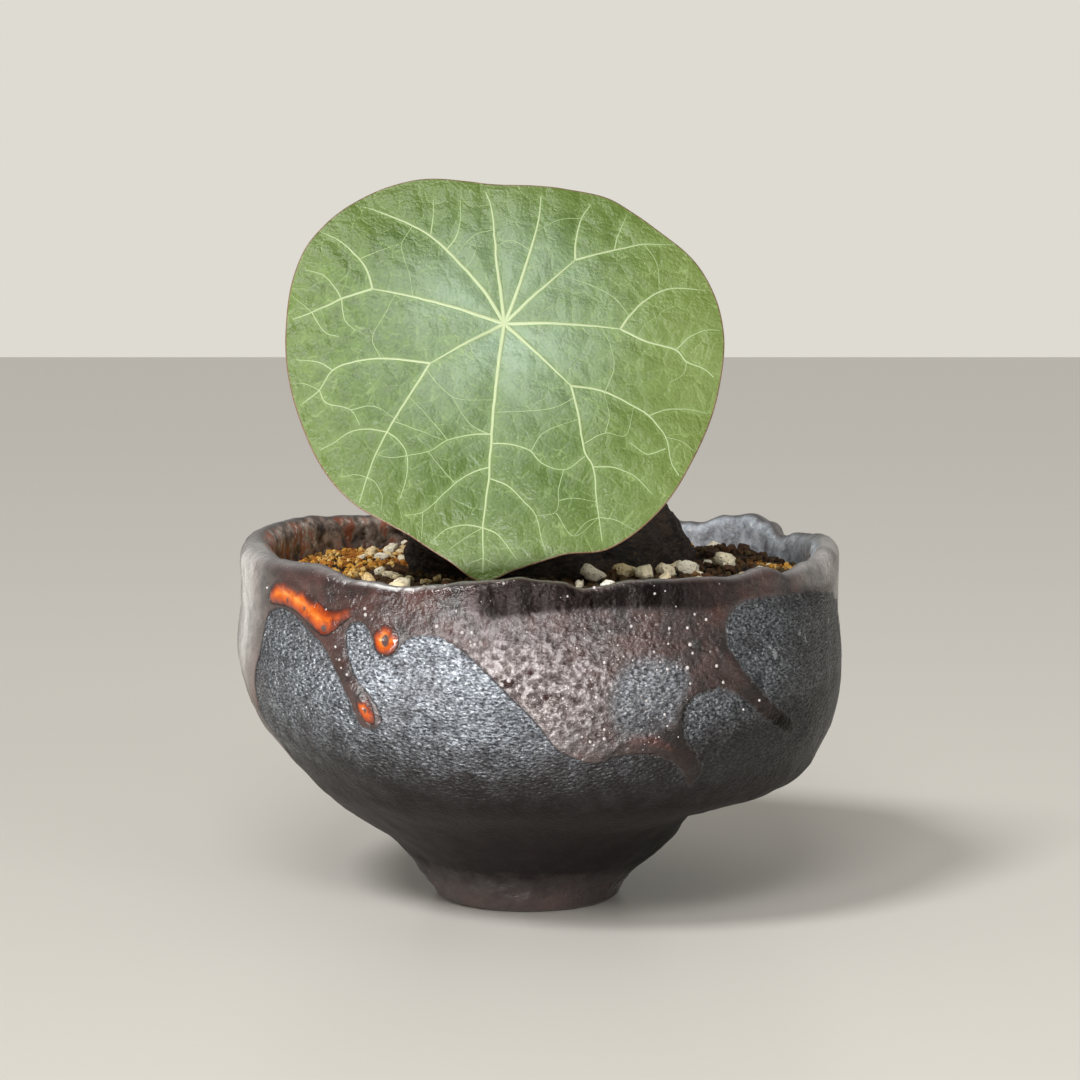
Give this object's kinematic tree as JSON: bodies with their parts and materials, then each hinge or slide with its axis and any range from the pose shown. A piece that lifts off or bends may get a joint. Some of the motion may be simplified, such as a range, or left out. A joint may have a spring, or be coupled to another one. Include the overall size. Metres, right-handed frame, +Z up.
{
  "type": "potted stephania",
  "caption": "Caudex plant with one round peltate leaf on an arched stalk, standing in gritty soil in a hand-formed stoneware bowl on a narrow foot.",
  "frame": {"origin": "middle of the underside: below the middle of the bowl, level with the foot ring's resting face", "axes": "+Z up, +X to the right and +Y to the back, as seen from the side that the leaf faces"},
  "size_m": [0.1492, 0.1497, 0.1768],
  "materials": {
    "stoneware_glaze": "satin",
    "net_plastic": "matte",
    "soil_grains": "matte",
    "caudex_bark": "matte",
    "leaf_stalk": "satin",
    "leaf_green": "satin"
  },
  "bodies": {
    "root": {"pot": "stoneware_glaze", "drain_mesh": "net_plastic", "soil": "soil_grains", "caudex": "caudex_bark", "petiole": "leaf_stalk", "leaf": "leaf_green"}
  },
  "joints": []
}
